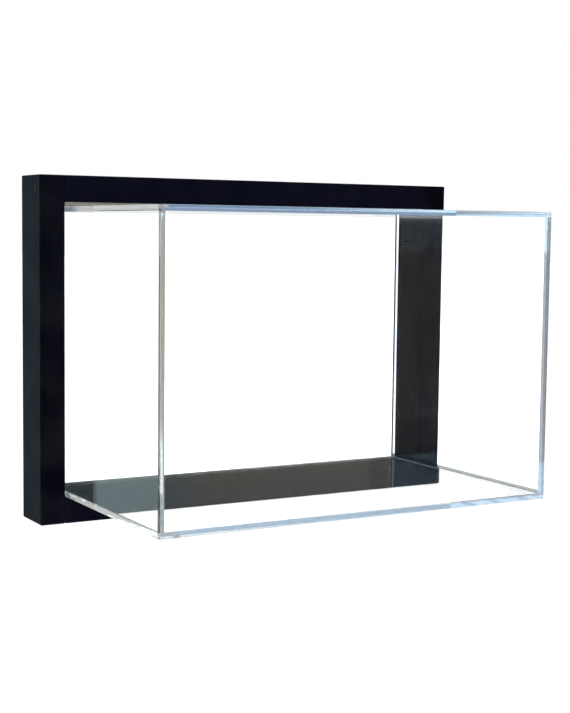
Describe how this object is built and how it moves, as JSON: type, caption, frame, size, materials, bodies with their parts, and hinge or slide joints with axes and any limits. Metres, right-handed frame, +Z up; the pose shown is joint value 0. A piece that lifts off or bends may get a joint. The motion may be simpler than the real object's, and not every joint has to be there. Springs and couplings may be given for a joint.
{
  "type": "wall display case",
  "caption": "Wall-hung display case: clear box-shaped cover that slides forward out of a black wooden frame, with a clear back panel and recessed keyhole hangers.",
  "frame": {"origin": "midway between the round entries of the two hanging keyholes, on the rear plane of the wooden frame", "axes": "+X to the viewer's right, +Y into the wall, -Y out of the wall towards the viewer, +Z up"},
  "size_m": [0.3556, 0.2047, 0.254],
  "materials": {
    "painted_wood": "satin",
    "clear_acrylic": "polished",
    "grey_felt": "matte",
    "beech": "matte",
    "black_steel": "satin",
    "zinc_steel": "satin",
    "bumper_rubber": "matte"
  },
  "bodies": {
    "frame": {"left_stile": "painted_wood", "right_stile": "painted_wood", "top_rail": "painted_wood", "bottom_rail": "painted_wood", "corner_screws": "black_steel", "corner_dowels": "beech", "top_felt": "grey_felt", "back_panel": "clear_acrylic", "back_screws": "black_steel", "back_washers": "zinc_steel", "left_hanger": "zinc_steel", "right_hanger": "zinc_steel", "hanger_screws": "zinc_steel", "bumper_upper_left": "bumper_rubber", "bumper_upper_right": "bumper_rubber", "bumper_lower_left": "bumper_rubber", "bumper_lower_right": "bumper_rubber"},
    "cover": {"cover_front": "clear_acrylic", "cover_top": "clear_acrylic", "cover_bottom": "clear_acrylic", "cover_left": "clear_acrylic", "cover_right": "clear_acrylic"}
  },
  "joints": [
    {"name": "cover_slide", "type": "slide", "parent": "frame", "child": "cover", "axis": [0, -1, 0], "range_m": [0, 0.06]}
  ]
}
